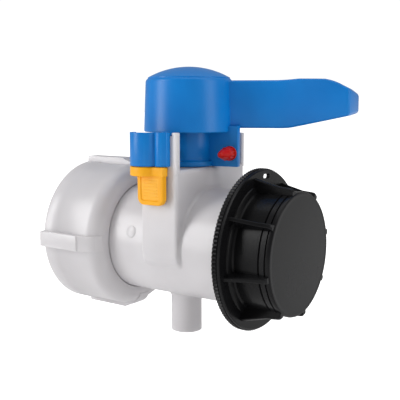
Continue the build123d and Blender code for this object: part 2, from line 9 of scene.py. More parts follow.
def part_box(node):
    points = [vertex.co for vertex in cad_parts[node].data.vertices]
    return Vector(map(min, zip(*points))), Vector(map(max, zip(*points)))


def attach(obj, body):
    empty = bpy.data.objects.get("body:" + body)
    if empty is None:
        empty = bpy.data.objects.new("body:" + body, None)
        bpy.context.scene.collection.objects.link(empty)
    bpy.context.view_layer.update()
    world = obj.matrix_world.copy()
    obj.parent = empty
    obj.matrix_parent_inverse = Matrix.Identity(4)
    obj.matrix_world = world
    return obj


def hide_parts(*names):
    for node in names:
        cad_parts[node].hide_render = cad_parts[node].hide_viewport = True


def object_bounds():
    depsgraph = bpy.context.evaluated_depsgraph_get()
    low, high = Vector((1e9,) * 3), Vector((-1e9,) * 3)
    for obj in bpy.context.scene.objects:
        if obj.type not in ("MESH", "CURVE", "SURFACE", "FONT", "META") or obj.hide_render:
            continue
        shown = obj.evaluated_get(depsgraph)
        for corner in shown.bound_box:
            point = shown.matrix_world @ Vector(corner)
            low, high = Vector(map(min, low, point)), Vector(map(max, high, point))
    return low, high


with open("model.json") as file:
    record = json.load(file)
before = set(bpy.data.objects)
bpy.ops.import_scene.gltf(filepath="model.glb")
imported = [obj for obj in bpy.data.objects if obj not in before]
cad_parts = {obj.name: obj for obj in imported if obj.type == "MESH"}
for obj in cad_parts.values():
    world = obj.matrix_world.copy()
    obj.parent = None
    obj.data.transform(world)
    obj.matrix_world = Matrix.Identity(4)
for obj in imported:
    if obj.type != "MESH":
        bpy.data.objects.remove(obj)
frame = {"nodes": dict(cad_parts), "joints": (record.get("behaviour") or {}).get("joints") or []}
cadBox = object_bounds()
nodes = frame["nodes"]
joints = {joint["name"]: joint for joint in frame["joints"]}
mm = 0.001  # every size below is in millimetres and becomes metres here

stemX = joints["handle_turn"]["pos_m"][0] / mm
threadPitch = 6.0
flowAxis = Vector((1, 0, 0))
stemAxis = Vector((0, 0, 1))
stemFoot = Vector((stemX, 0, 0))


def nodeBox(name):
    low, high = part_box(name)
    return low / mm, high / mm


def arcPoints(centre, radius, first, last, steps):
    points = []
    for k in range(steps + 1):
        a = math.radians(first + (last - first) * k / steps)
        points.append((centre[0] + radius * math.cos(a), centre[1] + radius * math.sin(a)))
    return points


def smoothPath(points, steps):
    # an even curve through a few given points
    path = []
    padded = [points[0], *points, points[-1]]
    for k in range(1, len(padded) - 2):
        before, start, end, after = (Vector(p) for p in padded[k - 1:k + 3])
        for step in range(steps):
            t = step / steps
            path.append(0.5 * (2 * start + (end - before) * t + (2 * before - 5 * start + 4 * end - after) * t * t
                               + (3 * start - before - 3 * end + after) * t ** 3))
    path.append(Vector(points[-1]))
    return path


def flowPoint(x, r):
    return Vector((x, 0, r))


def stemPoint(r, z):
    return Vector((stemX + r, 0, z))


def spinProfile(bm, points, centre, axis, steps):
    # turns an outline about an axis into a closed solid; an open outline starts and ends on the axis
    verts = [bm.verts.new(p) for p in points]
    edges = [bm.edges.new(pair) for pair in zip(verts, verts[1:])]
    onAxis = all((p - centre).cross(axis).length < 1e-6 for p in (points[0], points[-1]))
    if not onAxis:
        edges.append(bm.edges.new((verts[-1], verts[0])))
    bmesh.ops.spin(bm, geom=verts + edges, cent=centre, axis=axis, angle=2 * math.pi, steps=steps, use_merge=True)
    bmesh.ops.remove_doubles(bm, verts=bm.verts, dist=1e-4)
    bmesh.ops.recalc_face_normals(bm, faces=bm.faces)


def extrudeOutline(bm, points, travel):
    # a flat outline pulled into a prism
    verts = [bm.verts.new(p) for p in points]
    face = bm.faces.new(verts)
    pulled = bmesh.ops.extrude_face_region(bm, geom=[face])
    top = [v for v in pulled["geom"] if isinstance(v, bmesh.types.BMVert)]
    bmesh.ops.translate(bm, verts=top, vec=travel)
    bmesh.ops.recalc_face_normals(bm, faces=bm.faces)
    return verts + top


def addBox(bm, low, high):
    size = Vector(high) - Vector(low)
    middle = (Vector(high) + Vector(low)) / 2
    matrix = Matrix.Translation(middle) @ Matrix.Diagonal((*size, 1))
    return bmesh.ops.create_cube(bm, size=1.0, matrix=matrix)["verts"]


def addCylinder(bm, foot, axis, radius, length, segments):
    turn = Vector((0, 0, 1)).rotation_difference(Vector(axis)).to_matrix().to_4x4()
    matrix = Matrix.Translation(Vector(foot) + Vector(axis).normalized() * length / 2) @ turn
    made = bmesh.ops.create_cone(bm, cap_ends=True, segments=segments, radius1=radius,
                                 radius2=radius, depth=length, matrix=matrix)
    return made["verts"]


def roundEdges(bm, edges, width, segments=3):
    bmesh.ops.bevel(bm, geom=list(edges), offset=width, offset_type="OFFSET", affect="EDGES", segments=segments,
                    profile=0.5, material=-1, clamp_overlap=True)


def creases(bm, degrees=30.0):
    limit = math.radians(degrees)
    return [e for e in bm.edges if len(e.link_faces) == 2 and e.calc_face_angle(0) > limit]


def rawPiece(bm, name):
    mesh = bpy.data.meshes.new(name)
    bm.to_mesh(mesh)
    bm.free()
    piece = bpy.data.objects.new(name, mesh)
    bpy.context.scene.collection.objects.link(piece)
    return piece


def boxPiece(name, low, high):
    bm = bmesh.new()
    addBox(bm, low, high)
    return rawPiece(bm, name)


def cylinderPiece(name, foot, axis, radius, length, segments):
    bm = bmesh.new()
    addCylinder(bm, foot, axis, radius, length, segments)
    return rawPiece(bm, name)


def applied(piece):
    # bakes a piece's modifiers into its mesh
    bpy.context.view_layer.update()
    depsgraph = bpy.context.evaluated_depsgraph_get()
    mesh = bpy.data.meshes.new_from_object(piece.evaluated_get(depsgraph))
    piece.modifiers.clear()
    old = piece.data
    piece.data = mesh
    bpy.data.meshes.remove(old)
    return piece


def combine(piece, others, operation):
    for other in others:
        boolean = piece.modifiers.new("combine", "BOOLEAN")
        boolean.object = other
        boolean.operation = operation
        boolean.solver = "EXACT"
    applied(piece)
    for other in others:
        bpy.data.objects.remove(other)
    return piece


def softenCorners(piece, width, degrees=35.0, segments=2):
    bevel = piece.modifiers.new("soft corners", "BEVEL")
    bevel.width = width
    bevel.segments = segments
    bevel.limit_method = "ANGLE"
    bevel.angle_limit = math.radians(degrees)
    bevel.miter_outer = "MITER_ARC"
    bevel.use_clamp_overlap = True
    return applied(piece)


def finishPiece(piece, body, material, stands, sharp=40.0):
    piece.data.transform(Matrix.Scale(mm, 4))
    piece.data.materials.clear()
    piece.data.materials.append(material)
    piece.data.polygons.foreach_set("use_smooth", [True] * len(piece.data.polygons))
    piece.data.set_sharp_from_angle(angle=math.radians(sharp))
    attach(piece, body)
    if stands:
        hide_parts(*stands)
    return piece


def addThread(piece, profile, startX, turns):
    # a trapezoid ridge wound about the flow axis, laid into a piece without a boolean
    perTurn = 96
    steps = int(perTurn * turns)
    bm = bmesh.new()
    verts = [bm.verts.new(flowPoint(startX + x, r)) for x, r in profile]
    edges = [bm.edges.new(pair) for pair in zip(verts, verts[1:] + verts[:1])]
    # the thread is right-handed: it moves away from the viewer as it turns clockwise
    bmesh.ops.spin(bm, geom=verts + edges, cent=(0, 0, 0), axis=flowAxis, angle=2 * math.pi * turns, steps=steps,
                   dvec=(threadPitch / perTurn, 0, 0), use_merge=False)
    ends = [e for e in bm.edges if e.is_boundary]
    bmesh.ops.holes_fill(bm, edges=ends, sides=len(profile))
    bmesh.ops.recalc_face_normals(bm, faces=bm.faces)
    thread = rawPiece(bm, "thread")
    both = bmesh.new()
    both.from_mesh(piece.data)
    both.from_mesh(thread.data)
    both.to_mesh(piece.data)
    both.free()
    bpy.data.objects.remove(thread)


def mathNode(group, operation, *values, clamp=False):
    # each value is an output socket or a number
    node = group.nodes.new("ShaderNodeMath")
    node.operation = operation
    node.use_clamp = clamp
    for socket, value in zip(node.inputs, values):
        if isinstance(value, bpy.types.NodeSocket):
            group.links.new(value, socket)
        else:
            socket.default_value = value
    return node.outputs[0]


def noiseNode(group, detail):
    # noise on the piece's own coordinates
    place = group.nodes.new("ShaderNodeTexCoord")
    noise = group.nodes.new("ShaderNodeTexNoise")
    noise.inputs["Detail"].default_value = detail
    group.links.new(place.outputs["Object"], noise.inputs["Vector"])
    return noise


def groupWith(name, inputs, outputs):
    group = bpy.data.node_groups.new(name, "ShaderNodeTree")
    for label, kind, default in inputs:
        socket = group.interface.new_socket(label, in_out="INPUT", socket_type=kind)
        socket.default_value = default
    for label, kind in outputs:
        group.interface.new_socket(label, in_out="OUTPUT", socket_type=kind)
    return group, group.nodes.new("NodeGroupInput"), group.nodes.new("NodeGroupOutput")


waveScale = 38.0
chipScale = 160.0
wearContrast = 14.0
bumpDepth = 0.0004
scatterDepth = 0.004


def makeGrainGroup():
    # fine moulded grain and slow waviness of a moulded face
    group, given, result = groupWith(
        "mouldedGrain",
        [("Grain Scale", "NodeSocketFloat", 900.0), ("Grain", "NodeSocketFloat", 0.3),
         ("Wave", "NodeSocketFloat", 0.6)],
        [("Height", "NodeSocketFloat"), ("Patch", "NodeSocketFloat")],
    )
    fine = noiseNode(group, 3.0)
    group.links.new(given.outputs["Grain Scale"], fine.inputs["Scale"])
    slow = noiseNode(group, 2.0)
    slow.inputs["Scale"].default_value = waveScale
    grain = mathNode(group, "MULTIPLY", fine.outputs["Fac"], given.outputs["Grain"])
    height = mathNode(group, "MULTIPLY_ADD", slow.outputs["Fac"], given.outputs["Wave"], grain)
    group.links.new(height, result.inputs["Height"])
    group.links.new(slow.outputs["Fac"], result.inputs["Patch"])
    return group


def makeWearGroup():
    # a mask that is high on outer edges, broken up by noise
    group, given, result = groupWith(
        "edgeWear",
        [("Start", "NodeSocketFloat", 0.52), ("Amount", "NodeSocketFloat", 0.4)],
        [("Mask", "NodeSocketFloat")],
    )
    shape = group.nodes.new("ShaderNodeNewGeometry")
    noise = noiseNode(group, 4.0)
    noise.inputs["Scale"].default_value = chipScale
    past = mathNode(group, "SUBTRACT", shape.outputs["Pointiness"], given.outputs["Start"])
    lifted = mathNode(group, "MULTIPLY", past, wearContrast, clamp=True)
    broken = mathNode(group, "MULTIPLY", lifted, noise.outputs["Fac"])
    scaled = mathNode(group, "MULTIPLY", broken, given.outputs["Amount"], clamp=True)
    group.links.new(scaled, result.inputs["Mask"])
    return group


grainGroup = makeGrainGroup()
wearGroup = makeWearGroup()


def plastic(name, look):
    # moulded plastic: two close colours in slow patches, lighter worn edges, fine grain in the bump
    material = bpy.data.materials.new(name)
    material.use_nodes = True
    tree = material.node_tree
    link = tree.links.new
    shader = tree.nodes["Principled BSDF"]
    grain = tree.nodes.new("ShaderNodeGroup")
    grain.node_tree = grainGroup
    grain.inputs["Grain Scale"].default_value = look["grainScale"]
    grain.inputs["Grain"].default_value = look["grain"]
    grain.inputs["Wave"].default_value = look["wave"]
    wear = tree.nodes.new("ShaderNodeGroup")
    wear.node_tree = wearGroup
    wear.inputs["Amount"].default_value = look["wear"]
    patches = tree.nodes.new("ShaderNodeValToRGB")
    patches.color_ramp.elements[0].position = 0.3
    patches.color_ramp.elements[1].position = 0.7
    patches.color_ramp.elements[0].color = (*look["deep"], 1)
    patches.color_ramp.elements[1].color = (*look["light"], 1)
    link(grain.outputs["Patch"], patches.inputs["Fac"])
    worn = tree.nodes.new("ShaderNodeMix")
    worn.data_type = "RGBA"
    worn.inputs["B"].default_value = (*look["worn"], 1)
    link(wear.outputs["Mask"], worn.inputs["Factor"])
    link(patches.outputs["Color"], worn.inputs["A"])
    link(worn.outputs["Result"], shader.inputs["Base Color"])
    rough = tree.nodes.new("ShaderNodeMapRange")
    rough.inputs["To Min"].default_value = look["roughness"][0]
    rough.inputs["To Max"].default_value = look["roughness"][1]
    link(grain.outputs["Patch"], rough.inputs["Value"])
    link(rough.outputs["Result"], shader.inputs["Roughness"])
    bump = tree.nodes.new("ShaderNodeBump")
    bump.inputs["Strength"].default_value = look["bump"]
    bump.inputs["Distance"].default_value = bumpDepth
    link(grain.outputs["Height"], bump.inputs["Height"])
    link(bump.outputs["Normal"], shader.inputs["Normal"])
    shader.inputs["IOR"].default_value = 1.5
    shader.inputs["Specular IOR Level"].default_value = look.get("specular", 0.5)
    if "scatter" in look:
        shader.inputs["Subsurface Weight"].default_value = look["scatter"]
        shader.inputs["Subsurface Radius"].default_value = look["scatterReach"]
        shader.inputs["Subsurface Scale"].default_value = scatterDepth
    if "coat" in look:
        shader.inputs["Coat Weight"].default_value = look["coat"]
        shader.inputs["Coat Roughness"].default_value = 0.25
    return material


looks = {
    "natural": {"deep": (0.595, 0.577, 0.592), "light": (0.645, 0.627, 0.642), "worn": (0.74, 0.725, 0.74),
                "roughness": (0.27, 0.33), "grainScale": 700.0, "grain": 0.2, "wave": 0.2, "bump": 0.18, "wear": 0.3,
                "scatter": 0.3, "scatterReach": (1.0, 0.95, 0.9)},
    "blue": {"deep": (0.0, 0.155, 0.50), "light": (0.0, 0.19, 0.58), "worn": (0.02, 0.31, 0.70), "specular": 0.3,
             "roughness": (0.28, 0.38), "grainScale": 1100.0, "grain": 0.35, "wave": 0.3, "bump": 0.25, "wear": 0.25},
    "yellow": {"deep": (0.84, 0.37, 0.003), "light": (0.93, 0.42, 0.004), "worn": (1.0, 0.60, 0.10), "specular": 0.3,
               "roughness": (0.38, 0.48), "grainScale": 1100.0, "grain": 0.35, "wave": 0.3, "bump": 0.25, "wear": 0.4},
    "red": {"deep": (0.40, 0.004, 0.003), "light": (0.54, 0.006, 0.004), "worn": (0.8, 0.05, 0.03), "specular": 0.2,
            "roughness": (0.35, 0.45), "grainScale": 1500.0, "grain": 0.3, "wave": 0.3, "bump": 0.2, "wear": 0.5},
    "black": {"deep": (0.0042, 0.0042, 0.0047), "light": (0.0062, 0.0062, 0.0068), "worn": (0.03, 0.03, 0.032),
              "specular": 0.13, "roughness": (0.22, 0.30), "grainScale": 900.0, "grain": 0.35, "wave": 0.4,
              "bump": 0.22, "wear": 0.6},
    "rubber": {"deep": (0.012, 0.012, 0.012), "light": (0.02, 0.02, 0.02), "worn": (0.05, 0.05, 0.05),
               "roughness": (0.6, 0.75), "grainScale": 1600.0, "grain": 0.6, "wave": 0.3, "bump": 0.5, "wear": 0.4},
    "ball": {"deep": (0.74, 0.74, 0.73), "light": (0.80, 0.80, 0.79), "worn": (0.86, 0.86, 0.86),
             "roughness": (0.16, 0.24), "grainScale": 900.0, "grain": 0.1, "wave": 0.2, "bump": 0.12, "wear": 0.2,
             "coat": 0.3},
    "seat": {"deep": (0.80, 0.80, 0.79), "light": (0.86, 0.86, 0.85), "worn": (0.9, 0.9, 0.9),
             "roughness": (0.42, 0.52), "grainScale": 1300.0, "grain": 0.4, "wave": 0.2, "bump": 0.3, "wear": 0.2},
}
materials = {name: plastic(name + "Plastic", look) for name, look in looks.items()}
print("materials:", len(materials))


nut = {"bandLength": 10.0, "bandRadius": 43.2, "bandSlope": (0.3, 0.5), "lipRound": 1.0, "wallRadius": 42.6,
       "shoulder": 9.0, "holeRadius": 31.7, "holeChamfer": 0.6, "seatX": 33.0, "reliefRadius": 38.2,
       "threadRadius": 37.6, "threadChamfer": 1.2, "threadLength": 23.0, "threadDepth": 1.9, "threadRoot": 0.4,
       "threadHalf": (2.3, 0.9), "threadStart": 3.2, "threadTurns": 2.55}
nutLug = {"count": 4, "half": 4.4, "radius": 46.2, "length": 29.0, "stepRadius": 45.4, "sink": 2.5, "skin": 0.6,
          "rise": 1.0, "round": 0.7}


def nutOutline(length):
    chamfer, shoulder = nut["threadChamfer"], nut["shoulder"]
    lip, hole = nut["lipRound"], nut["holeChamfer"]
    slopeStart, slopeEnd = nut["bandSlope"]
    outline = [(chamfer, nut["threadRadius"]), (0.0, nut["threadRadius"] + chamfer)]
    outline += arcPoints((lip, nut["bandRadius"] - lip), lip, 180, 90, 4)
    outline += [(nut["bandLength"] - slopeStart, nut["bandRadius"]), (nut["bandLength"] + slopeEnd, nut["wallRadius"])]
    outline += arcPoints((length - shoulder, nut["wallRadius"] - shoulder), shoulder, 90, 0, 12)
    outline += [(length, nut["holeRadius"] + hole), (length - hole, nut["holeRadius"]),
                (nut["seatX"], nut["holeRadius"]), (nut["seatX"], nut["reliefRadius"]),
                (nut["threadLength"], nut["reliefRadius"]), (nut["threadLength"], nut["threadRadius"])]
    return [flowPoint(x, r) for x, r in outline]


def makeNutLug(length, angle):
    # a lug follows the shoulder's curve at its far end and sinks into the wall
    shoulder, skin, half = nut["shoulder"], nutLug["skin"], nutLug["half"]
    sink = nut["wallRadius"] - nutLug["sink"]
    side = [(0.0, sink), (0.0, nutLug["radius"]), (nutLug["length"], nutLug["radius"]),
            (nutLug["length"] + skin, nutLug["stepRadius"])]
    side += arcPoints((length - shoulder - skin, nut["wallRadius"] - shoulder + nutLug["rise"]), shoulder + skin,
                      72, 12, 8)
    side += [(length - 2.0, nut["wallRadius"] - shoulder - 1.0), (length - shoulder, sink - 4.0),
             (length - shoulder - 4.0, sink)]
    bm = bmesh.new()
    extrudeOutline(bm, [Vector((x, -half, r)) for x, r in side], Vector((0, 2 * half, 0)))
    outer = [e for e in creases(bm) if min(v.co.z for v in e.verts) > sink + 0.1]
    roundEdges(bm, outer, nutLug["round"], 3)
    turn = Matrix.Rotation(math.radians(angle), 3, flowAxis)
    bmesh.ops.rotate(bm, verts=bm.verts, cent=(0, 0, 0), matrix=turn)
    return rawPiece(bm, "lug")


def makeUnionNut():
    length = nodeBox("union_nut")[1].x
    bm = bmesh.new()
    spinProfile(bm, nutOutline(length), Vector((0, 0, 0)), flowAxis, 180)
    moulding = rawPiece(bm, "unionNutMoulding")
    combine(moulding, [makeNutLug(length, 360 / nutLug["count"] * k) for k in range(nutLug["count"])], "UNION")
    root, crest = nut["threadRadius"] + nut["threadRoot"], nut["threadRadius"] - nut["threadDepth"]
    foot, tip = nut["threadHalf"]
    addThread(moulding, [(-foot, root), (-tip, crest), (tip, crest), (foot, root)], nut["threadStart"],
              nut["threadTurns"])
    return finishPiece(moulding, "union_nut", materials["natural"], ["union_nut"])


shell = {"barrelRadius": 31.5, "barrelStart": 32.6, "barrelEnd": 119.0, "blockBack": -7.8, "blockFront": 16.2,
         "blockHalf": 33.7, "footZ": -3.0, "floorZ": 43.5, "cheekWall": 3.2, "cheekTop": 61.5, "bossRadius": 24.5,
         "stubX": -2.0, "stubRadius": 8.9, "stubRoot": 20.0, "postWidth": 3.2, "nearPostTop": 63.3, "farPostWall": 2.8,
         "stops": ((107.0, 120.0), (222.0, 236.0)), "stopRadii": (16.4, 21.0), "stopHeight": 3.0, "cheekRound": 0.45,
         "footSlope": ((0.0, 0.0), (1.2, 4.0), (4.4, 7.5)), "footDepth": 9.0, "blockRound": 1.0,
         "voxel": 0.8, "softening": 9, "snapRound": 0.28, "snapFlat": 0.22, "snapLoose": 0.3, "blend": 2.0,
         "stubBlend": 2.5}
# places well outside the valve: to its sides, past the cap and under the stub
clear, pastEnd, pastFoot = 70.0, 170.0, -90.0


def blockPiece(back, front):
    # the neck's block, with a foot that narrows onto the barrel
    half, footZ, floorZ = shell["blockHalf"], shell["footZ"], shell["floorZ"]
    foot = [(half, floorZ)] + [(half - inward, footZ - down) for inward, down in shell["footSlope"]]
    foot.append((0.0, footZ - shell["footDepth"]))
    bm = bmesh.new()
    outline = [Vector((back, y, z)) for y, z in foot] + [Vector((back, -y, z)) for y, z in reversed(foot[:-1])]
    extrudeOutline(bm, outline, Vector((front - back, 0, 0)))
    sides = [e for e in bm.edges if all(abs(v.co.y) == half for v in e.verts)]
    roundEdges(bm, [e for e in sides if abs(e.verts[0].co.x - e.verts[1].co.x) < 0.1], shell["blockRound"], 2)
    return rawPiece(bm, "block")


def snapSkin(v, back, front):
    # a face that is truly flat or round in the mould goes back to its exact place
    r, half, flat = shell["barrelRadius"], shell["blockHalf"], shell["snapFlat"]
    radius = math.hypot(v.co.y, v.co.z)
    if abs(radius - r) < shell["snapRound"]:
        v.co.y *= r / radius
        v.co.z *= r / radius
    if abs(abs(v.co.y) - half) < flat and v.co.z > shell["footZ"]:
        v.co.y = math.copysign(half, v.co.y)
    for end in (front, back):
        if abs(v.co.x - end) < flat and radius > r + shell["blend"]:
            v.co.x = end
    if abs(v.co.z - shell["floorZ"]) < shell["snapLoose"]:
        v.co.z = shell["floorZ"]
    stubX = stemX + shell["stubX"]
    away = math.hypot(v.co.x - stubX, v.co.y)
    if v.co.z < -r - shell["stubBlend"] and abs(away - shell["stubRadius"]) < shell["snapLoose"]:
        v.co.x = stubX + (v.co.x - stubX) * shell["stubRadius"] / away
        v.co.y *= shell["stubRadius"] / away


def makeBodyCore():
    # barrel, neck, boss and stub run into each other with soft moulded blends
    back, front = stemX + shell["blockBack"], stemX + shell["blockFront"]
    low = nodeBox("valve_body")[0]
    spare = 3.0  # left on each end for the plain cuts
    core = cylinderPiece("bodyCore", (shell["barrelStart"] - spare, 0, 0), flowAxis, shell["barrelRadius"],
                         shell["barrelEnd"] - shell["barrelStart"] + 2 * spare, 128)
    boss = cylinderPiece("boss", (stemX, 0, 0), stemAxis, shell["bossRadius"], shell["floorZ"], 96)
    combine(boss, [boxPiece("cutter", (front - 6.0, -60, -10), (front + 60, 60, 60))], "DIFFERENCE")
    stub = cylinderPiece("stub", (stemX + shell["stubX"], 0, low.z - spare), stemAxis, shell["stubRadius"],
                         -low.z - shell["stubRoot"], 64)
    combine(core, [blockPiece(back, front), boss, stub], "UNION")
    remesh = core.modifiers.new("even skin", "REMESH")
    remesh.mode = "VOXEL"
    remesh.voxel_size = shell["voxel"]
    applied(core)
    bm = bmesh.new()
    bm.from_mesh(core.data)
    for _ in range(shell["softening"]):
        bmesh.ops.smooth_vert(bm, verts=bm.verts, factor=0.5, use_axis_x=True, use_axis_y=True, use_axis_z=True)
    for v in bm.verts:
        snapSkin(v, back, front)
    bm.to_mesh(core.data)
    bm.free()
    return core


bores = {"chamberRadius": 28.2, "chamberEnd": 24.0, "outletRadius": 23.0, "outletThreadRadius": 28.2,
         "threadCrest": 30.0, "stemPocket": 12.3, "pocketBase": 20.0, "pocketTop": 33.1, "stemBore": 8.58,
         "stubCore": 5.8, "coreDepth": 18.0, "slotHalf": 3.2, "slotZ": (43.9, 53.9), "lipChamfer": 1.2,
         "threadHalf": (2.2, 0.8), "threadStart": 4.5, "threadTurns": 2.5}


def neckPieces(back, front):
    # crisp moulded features on the neck: two cheeks and two stops for the handle
    half, floorZ, top = shell["blockHalf"], shell["floorZ"], shell["cheekTop"]
    post, foot = front - shell["postWidth"], floorZ - 2.0
    nearTop, farWall = shell["nearPostTop"], shell["farPostWall"]
    nearSide = [(back, foot), (front, foot), (front, nearTop), (post, nearTop), (post, top), (back, top)]
    farSide = [(post, foot), (front, foot), (front, top), (post, top)]
    made = []
    for side, y, thickness in ((nearSide, -half, shell["cheekWall"]), (farSide, half - farWall, farWall)):
        bm = bmesh.new()
        extrudeOutline(bm, [Vector((x, y, z)) for x, z in side], Vector((0, thickness, 0)))
        roundEdges(bm, [e for e in bm.edges if max(v.co.z for v in e.verts) > floorZ], shell["cheekRound"], 3)
        made.append(rawPiece(bm, "cheek"))
    inner, outer = shell["stopRadii"]
    for first, last in shell["stops"]:
        bm = bmesh.new()
        rim = arcPoints((stemX, 0), inner, first, last, 4) + arcPoints((stemX, 0), outer, last, first, 4)
        extrudeOutline(bm, [Vector((x, y, floorZ - 1.0)) for x, y in rim], Vector((0, 0, shell["stopHeight"] + 1.0)))
        roundEdges(bm, [e for e in creases(bm) if min(v.co.z for v in e.verts) > floorZ], 0.4, 2)
        made.append(rawPiece(bm, "stop"))
    return made


def outletPiece(end):
    # outlet stub at the thread's root, with a chamfered lip
    start, root, lip = shell["barrelEnd"] - 4.0, bores["outletThreadRadius"], bores["lipChamfer"]
    bm = bmesh.new()
    outline = [(start, 0), (start, root), (end - lip, root), (end, root - lip), (end, 0)]
    spinProfile(bm, [flowPoint(x, r) for x, r in outline], Vector((0, 0, 0)), flowAxis, 144)
    return rawPiece(bm, "outlet")


def borePieces(low):
    # everything cut out of the body
    half, floorZ, start = shell["blockHalf"], shell["floorZ"], shell["barrelStart"] - 5.0
    base = (stemX, 0, bores["pocketBase"])
    slotLow, slotHigh = bores["slotZ"]
    return [
        cylinderPiece("chamber", (start, 0, 0), flowAxis, bores["chamberRadius"],
                      stemX + bores["chamberEnd"] - shell["barrelStart"] + 5.0, 128),
        cylinderPiece("outletBore", (stemX, 0, 0), flowAxis, bores["outletRadius"], 90, 128),
        cylinderPiece("stemPocket", base, stemAxis, bores["stemPocket"], bores["pocketTop"] - bores["pocketBase"], 64),
        cylinderPiece("stemBore", base, stemAxis, bores["stemBore"], floorZ - bores["pocketBase"] + 1.0, 64),
        cylinderPiece("stubCore", (stemX + shell["stubX"], 0, low.z - 5.0), stemAxis, bores["stubCore"],
                      bores["coreDepth"] + 5.0, 48),
        boxPiece("tongueSlot", (stemX - bores["slotHalf"], -half - 2, slotLow),
                 (stemX + bores["slotHalf"], -half + shell["cheekWall"] + 2, slotHigh)),
    ]


def makeValveBody():
    low, high = nodeBox("valve_body")
    moulding = makeBodyCore()
    # plain cut faces at both ends of the barrel and under the stub
    cutters = [boxPiece("cutter", (0, -clear, -clear), (shell["barrelStart"], clear, clear)),
               boxPiece("cutter", (shell["barrelEnd"], -clear, -clear), (pastEnd, clear, clear)),
               boxPiece("cutter", (0, -clear, pastFoot), (pastEnd, clear, low.z))]
    combine(moulding, cutters, "DIFFERENCE")
    added = neckPieces(stemX + shell["blockBack"], stemX + shell["blockFront"])
    combine(moulding, added + [outletPiece(high.x)], "UNION")
    combine(moulding, borePieces(low), "DIFFERENCE")
    root, crest = bores["outletThreadRadius"] - 0.4, bores["threadCrest"]
    foot, tip = bores["threadHalf"]
    addThread(moulding, [(-foot, root), (foot, root), (tip, crest), (-tip, crest)],
              shell["barrelEnd"] + bores["threadStart"], bores["threadTurns"])
    moulding.name = "bodyMoulding"
    return finishPiece(moulding, "valve", materials["natural"], ["valve_body"], 35.0)


# a round gate mark left on the barrel's side
gate = {"x": 57.0, "z": 7.6, "radius": 3.3, "height": 0.2, "sink": 0.8, "round": 0.3}


def makeGateMark():
    r = shell["barrelRadius"]
    y = -math.sqrt(r * r - gate["z"] ** 2)
    outward = Vector((0, y, gate["z"])).normalized()
    foot = outward * (r - gate["sink"]) + Vector((gate["x"], 0, 0))
    bm = bmesh.new()
    addCylinder(bm, foot, outward, gate["radius"], gate["sink"] + gate["height"], 40)
    roundEdges(bm, creases(bm, 60), gate["round"], 2)
    return finishPiece(rawPiece(bm, "gateMark"), "valve", materials["natural"], [])


makeUnionNut()
print("union nut done")
makeValveBody()
makeGateMark()
print("valve body done")


handle = {"hubBottom": 62.8, "hubRim": 92.2, "bottomRadius": 25.5, "rimRadius": 24.4, "rimRound": 2.4, "dome": 6.8,
          "wall": 2.8, "roof": 89.2, "sleeveRadius": 13.7, "sleeveBottom": 43.8, "lipRadius": 15.7, "lipHeight": 3.0,
          "lipRound": 0.4, "plateAngle": 8.0, "plateRadius": 31.0, "plateHalf": 1.8, "plateTop": 66.2,
          "leverWall": 2.8, "leverEndWall": 11.0, "cornerRound": 2.4,
          "ribs": 6, "ribReach": (12.0, 22.5), "ribHalf": 1.0, "ribBottom": 68.8,
          "tabAngles": (121, 131), "tabReach": (12.0, 20.4), "notches": (180, 270), "notchReach": (14.0, 22.0),
          "notchHalf": 3.1, "stemRoom": 9.1, "stemRoomDepth": 13.0, "socketHalf": 5.6, "socketTop": 80.3,
          "screwReach": 26.5, "screwZ": 51.2, "screwHole": 2.5}

# the lever seen from above: matching points along its near and far sides, from the stem
leverNear = [(18.0, 1.3), (34.0, 8.5), (49.0, 15.1), (60.0, 17.4), (74.0, 19.2), (87.6, 21.0)]
leverFar = [(12.0, 14.3), (28.0, 21.4), (43.0, 28.4), (54.5, 33.8), (70.0, 38.0), (85.0, 40.6)]
# and from the side: distance out from the stem and height
leverTop = [(0.0, 91.2), (51.0, 91.1), (56.0, 91.3), (62.5, 91.8), (76.5, 91.5), (80.0, 90.8), (83.0, 89.8),
            (86.5, 88.0), (90.1, 86.2), (92.5, 84.3), (94.2, 82.8)]
leverBottom = [(0.0, 65.0), (54.0, 65.0), (58.0, 65.3), (62.5, 66.2), (90.1, 72.0), (94.2, 73.6)]


def heightAt(line, distance):
    for (x0, z0), (x1, z1) in zip(line, line[1:]):
        if distance <= x1:
            return z0 + (z1 - z0) * (distance - x0) / (x1 - x0)
    return line[-1][1]


def leverSolid(inset, endShort, floorDrop):
    # the lever's outside, or with an inset the hollow under it
    bm = bmesh.new()
    near = smoothPath(leverNear, 6)
    far = smoothPath(leverFar, 6)
    loops = []
    for n, f in zip(near, far):
        across = (f - n).normalized() * inset
        n, f = n + across, f - across
        if max(n.x, f.x) > leverNear[-1][0] - endShort:
            break
        corners = [(n, leverBottom, -floorDrop), (n, leverTop, -inset),
                   (f, leverTop, -inset), (f, leverBottom, -floorDrop)]
        verts = [bm.verts.new((stemX + p.x, p.y, heightAt(line, p.length) + shift)) for p, line, shift in corners]
        loops.append([bm.edges.new((verts[k], verts[(k + 1) % 4])) for k in range(4)])
    for first, second in zip(loops, loops[1:]):
        bmesh.ops.bridge_loops(bm, edges=first + second)
    bmesh.ops.holes_fill(bm, edges=loops[0] + loops[-1], sides=4)
    bmesh.ops.recalc_face_normals(bm, faces=bm.faces)
    if inset == 0:
        roundEdges(bm, creases(bm, 50), handle["cornerRound"], 4)
    return rawPiece(bm, "leverSolid")


def platePlace(reach, across, z):
    # a point of the lock plate: distance from the stem, distance towards the near side, height
    a = math.radians(handle["plateAngle"])
    return Vector((stemX + reach * math.cos(a) + across * math.sin(a), reach * math.sin(a) - across * math.cos(a), z))


